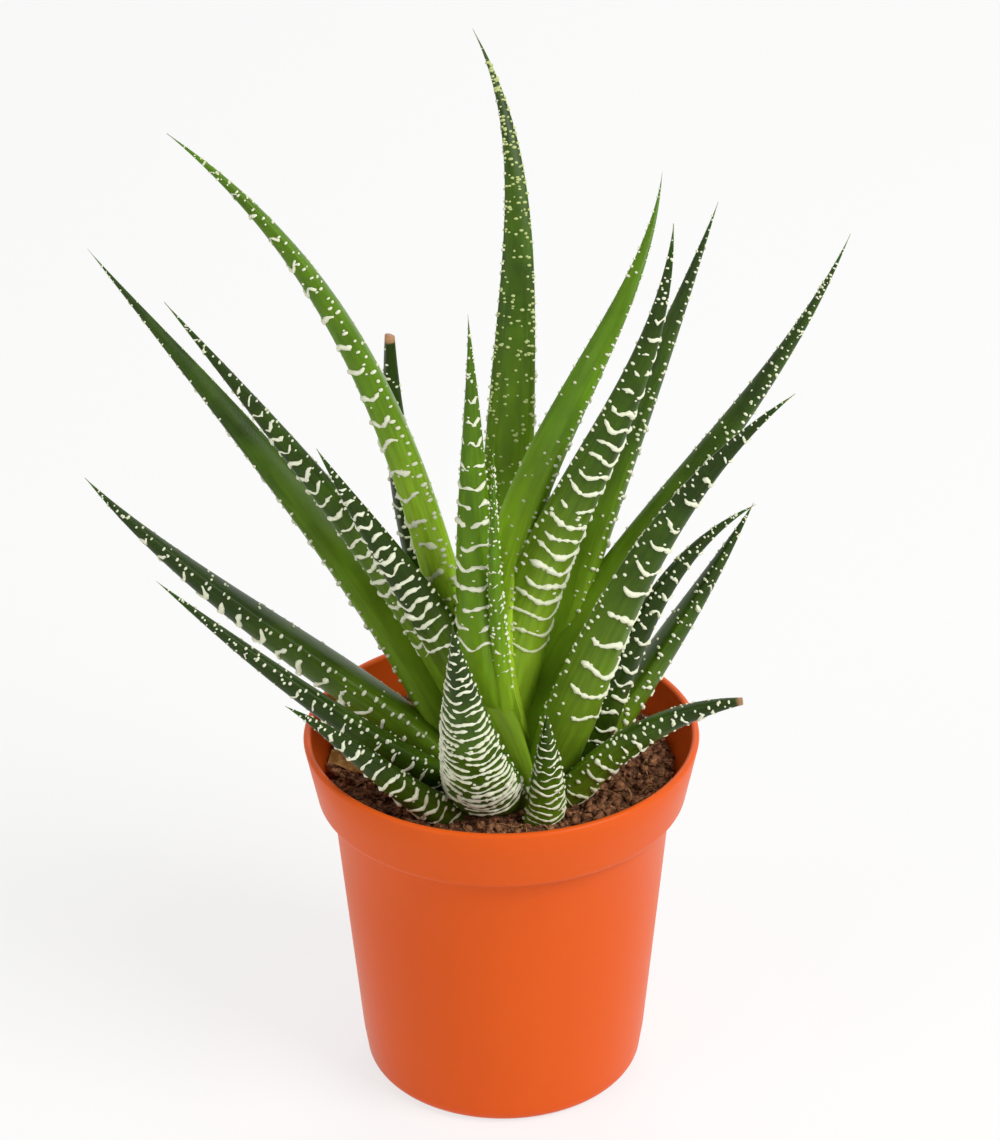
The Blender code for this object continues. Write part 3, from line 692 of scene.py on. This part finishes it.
def buildHusk():
    tan = mottledMaterial("witheredLeaf", "8A5A2C", "D3A468", 420.0)
    bm = buildBlade(husk, leafPath(husk))
    for vert in bm.verts:  # crinkles of a dried blade
        vert.co += vert.normal * husk["crinkle"] * mm * noise.noise(vert.co * husk["crinkleScale"])
    piece = makePiece("withered_leaf", bm, tan)
    settle(piece, "dry_leaf", "dry_husk")
    bm = bmesh.new()
    points = [Vector(point) * mm for point in fibre["points"]]
    stops = [(first.lerp(second, part / 4), Vector((0, 0, 1)), Vector((0, 1, 0)))
             for first, second in zip(points, points[1:]) for part in range(4)]
    addRidge(bm, stops, fibre["radius"], fibre["radius"])
    bmesh.ops.recalc_face_normals(bm, faces=bm.faces)
    strand = makePiece("dry_strand", bm, tan)
    settle(strand, "dry_leaf", "dry_fibre")
    stemTissue = mottledMaterial("paleStemTissue", "6F7A2C", "A3A648", 500.0)
    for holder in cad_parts["stem"].material_slots:
        holder.material = stemTissue
    print("withered leaf built")


# studio
studio = dict(floor="F4F4F2", distance=600, rise=31.0, look=28.69, roll=-0.47, lens=124.9,
              floorGlow=0.72)


def seenRays(tree):  # 1 where the white surroundings are seen, also in reflections and through glass
    ray = addNode(tree, "ShaderNodeLightPath").outputs
    both = addNode(tree, "ShaderNodeMath", {0: ray["Is Camera Ray"], 1: ray["Is Glossy Ray"]},
                   operation="MAXIMUM")
    return addNode(tree, "ShaderNodeMath", {0: both.outputs[0], 1: ray["Is Transmission Ray"]},
                   operation="MAXIMUM").outputs[0]


def buildStudio():
    scene = bpy.context.scene
    scene.view_settings.view_transform = "Standard"
    world = bpy.data.worlds.new("studioWorld")
    scene.world = world
    world.use_nodes = True
    tree = world.node_tree
    tree.nodes.clear()
    seen = seenRays(tree)
    dim = addNode(tree, "ShaderNodeBackground", {"Color": (1, 1, 1, 1), "Strength": 0.36})
    white = addNode(tree, "ShaderNodeBackground", {"Color": (1, 1, 1, 1), "Strength": 1.0})
    mixed = addNode(tree, "ShaderNodeMixShader", {0: seen, 1: dim.outputs[0], 2: white.outputs[0]})
    addNode(tree, "ShaderNodeOutputWorld", {"Surface": mixed.outputs[0]})

    bm = bmesh.new()
    bmesh.ops.create_grid(bm, x_segments=1, y_segments=1, size=3.0)
    material, tree = newMaterial("matPaperFloor")
    paper = addNode(tree, "ShaderNodeBsdfDiffuse", {"Color": hexToLinear(studio["floor"])})
    glow = addNode(tree, "ShaderNodeEmission", {"Color": (1, 1, 1, 1), "Strength": 1.0})
    amount = addNode(tree, "ShaderNodeMath", {0: seenRays(tree), 1: studio["floorGlow"]},
                     operation="MULTIPLY")
    mixed = addNode(tree, "ShaderNodeMixShader", {0: amount.outputs[0], 1: paper.outputs[0],
                                                  2: glow.outputs[0]})
    addNode(tree, "ShaderNodeOutputMaterial", {"Surface": mixed.outputs[0]})
    floor = makePiece("studio_floor", bm, material)

    lamps = {"keyLamp": dict(place=(0.6, -0.4, 0.72), size=0.5, power=7.2),
             "fillLamp": dict(place=(-0.7, -0.5, 0.45), size=0.6, power=1.9),
             "backLamp": dict(place=(0.1, 0.7, 0.7), size=0.5, power=2.2)}
    aim = Vector((0, 0, 0.07))
    for name, lamp in lamps.items():
        light = bpy.data.lights.new(name, "AREA")
        light.size = lamp["size"]
        light.energy = lamp["power"]
        holder = bpy.data.objects.new(name, light)
        holder.location = lamp["place"]
        holder.rotation_euler = (aim - Vector(lamp["place"])).to_track_quat("-Z", "Y").to_euler()
        scene.collection.objects.link(holder)

    camera = bpy.data.cameras.new("camera")
    camera.lens = studio["lens"]
    camera.clip_start = 0.01
    holder = bpy.data.objects.new("camera", camera)
    rise = math.radians(studio["rise"])
    away = studio["distance"] * mm
    place = Matrix.Translation((0, -away * math.cos(rise), pot["height"] + away * math.sin(rise)))
    tilt = Matrix.Rotation(math.radians(90 - studio["look"]), 4, "X")
    holder.matrix_world = place @ tilt @ Matrix.Rotation(math.radians(studio["roll"]), 4, "Z")
    scene.collection.objects.link(holder)
    scene.camera = holder
    print("studio built")


buildStudio()
buildPot()
buildSoil()
buildLeaves()
buildHusk()
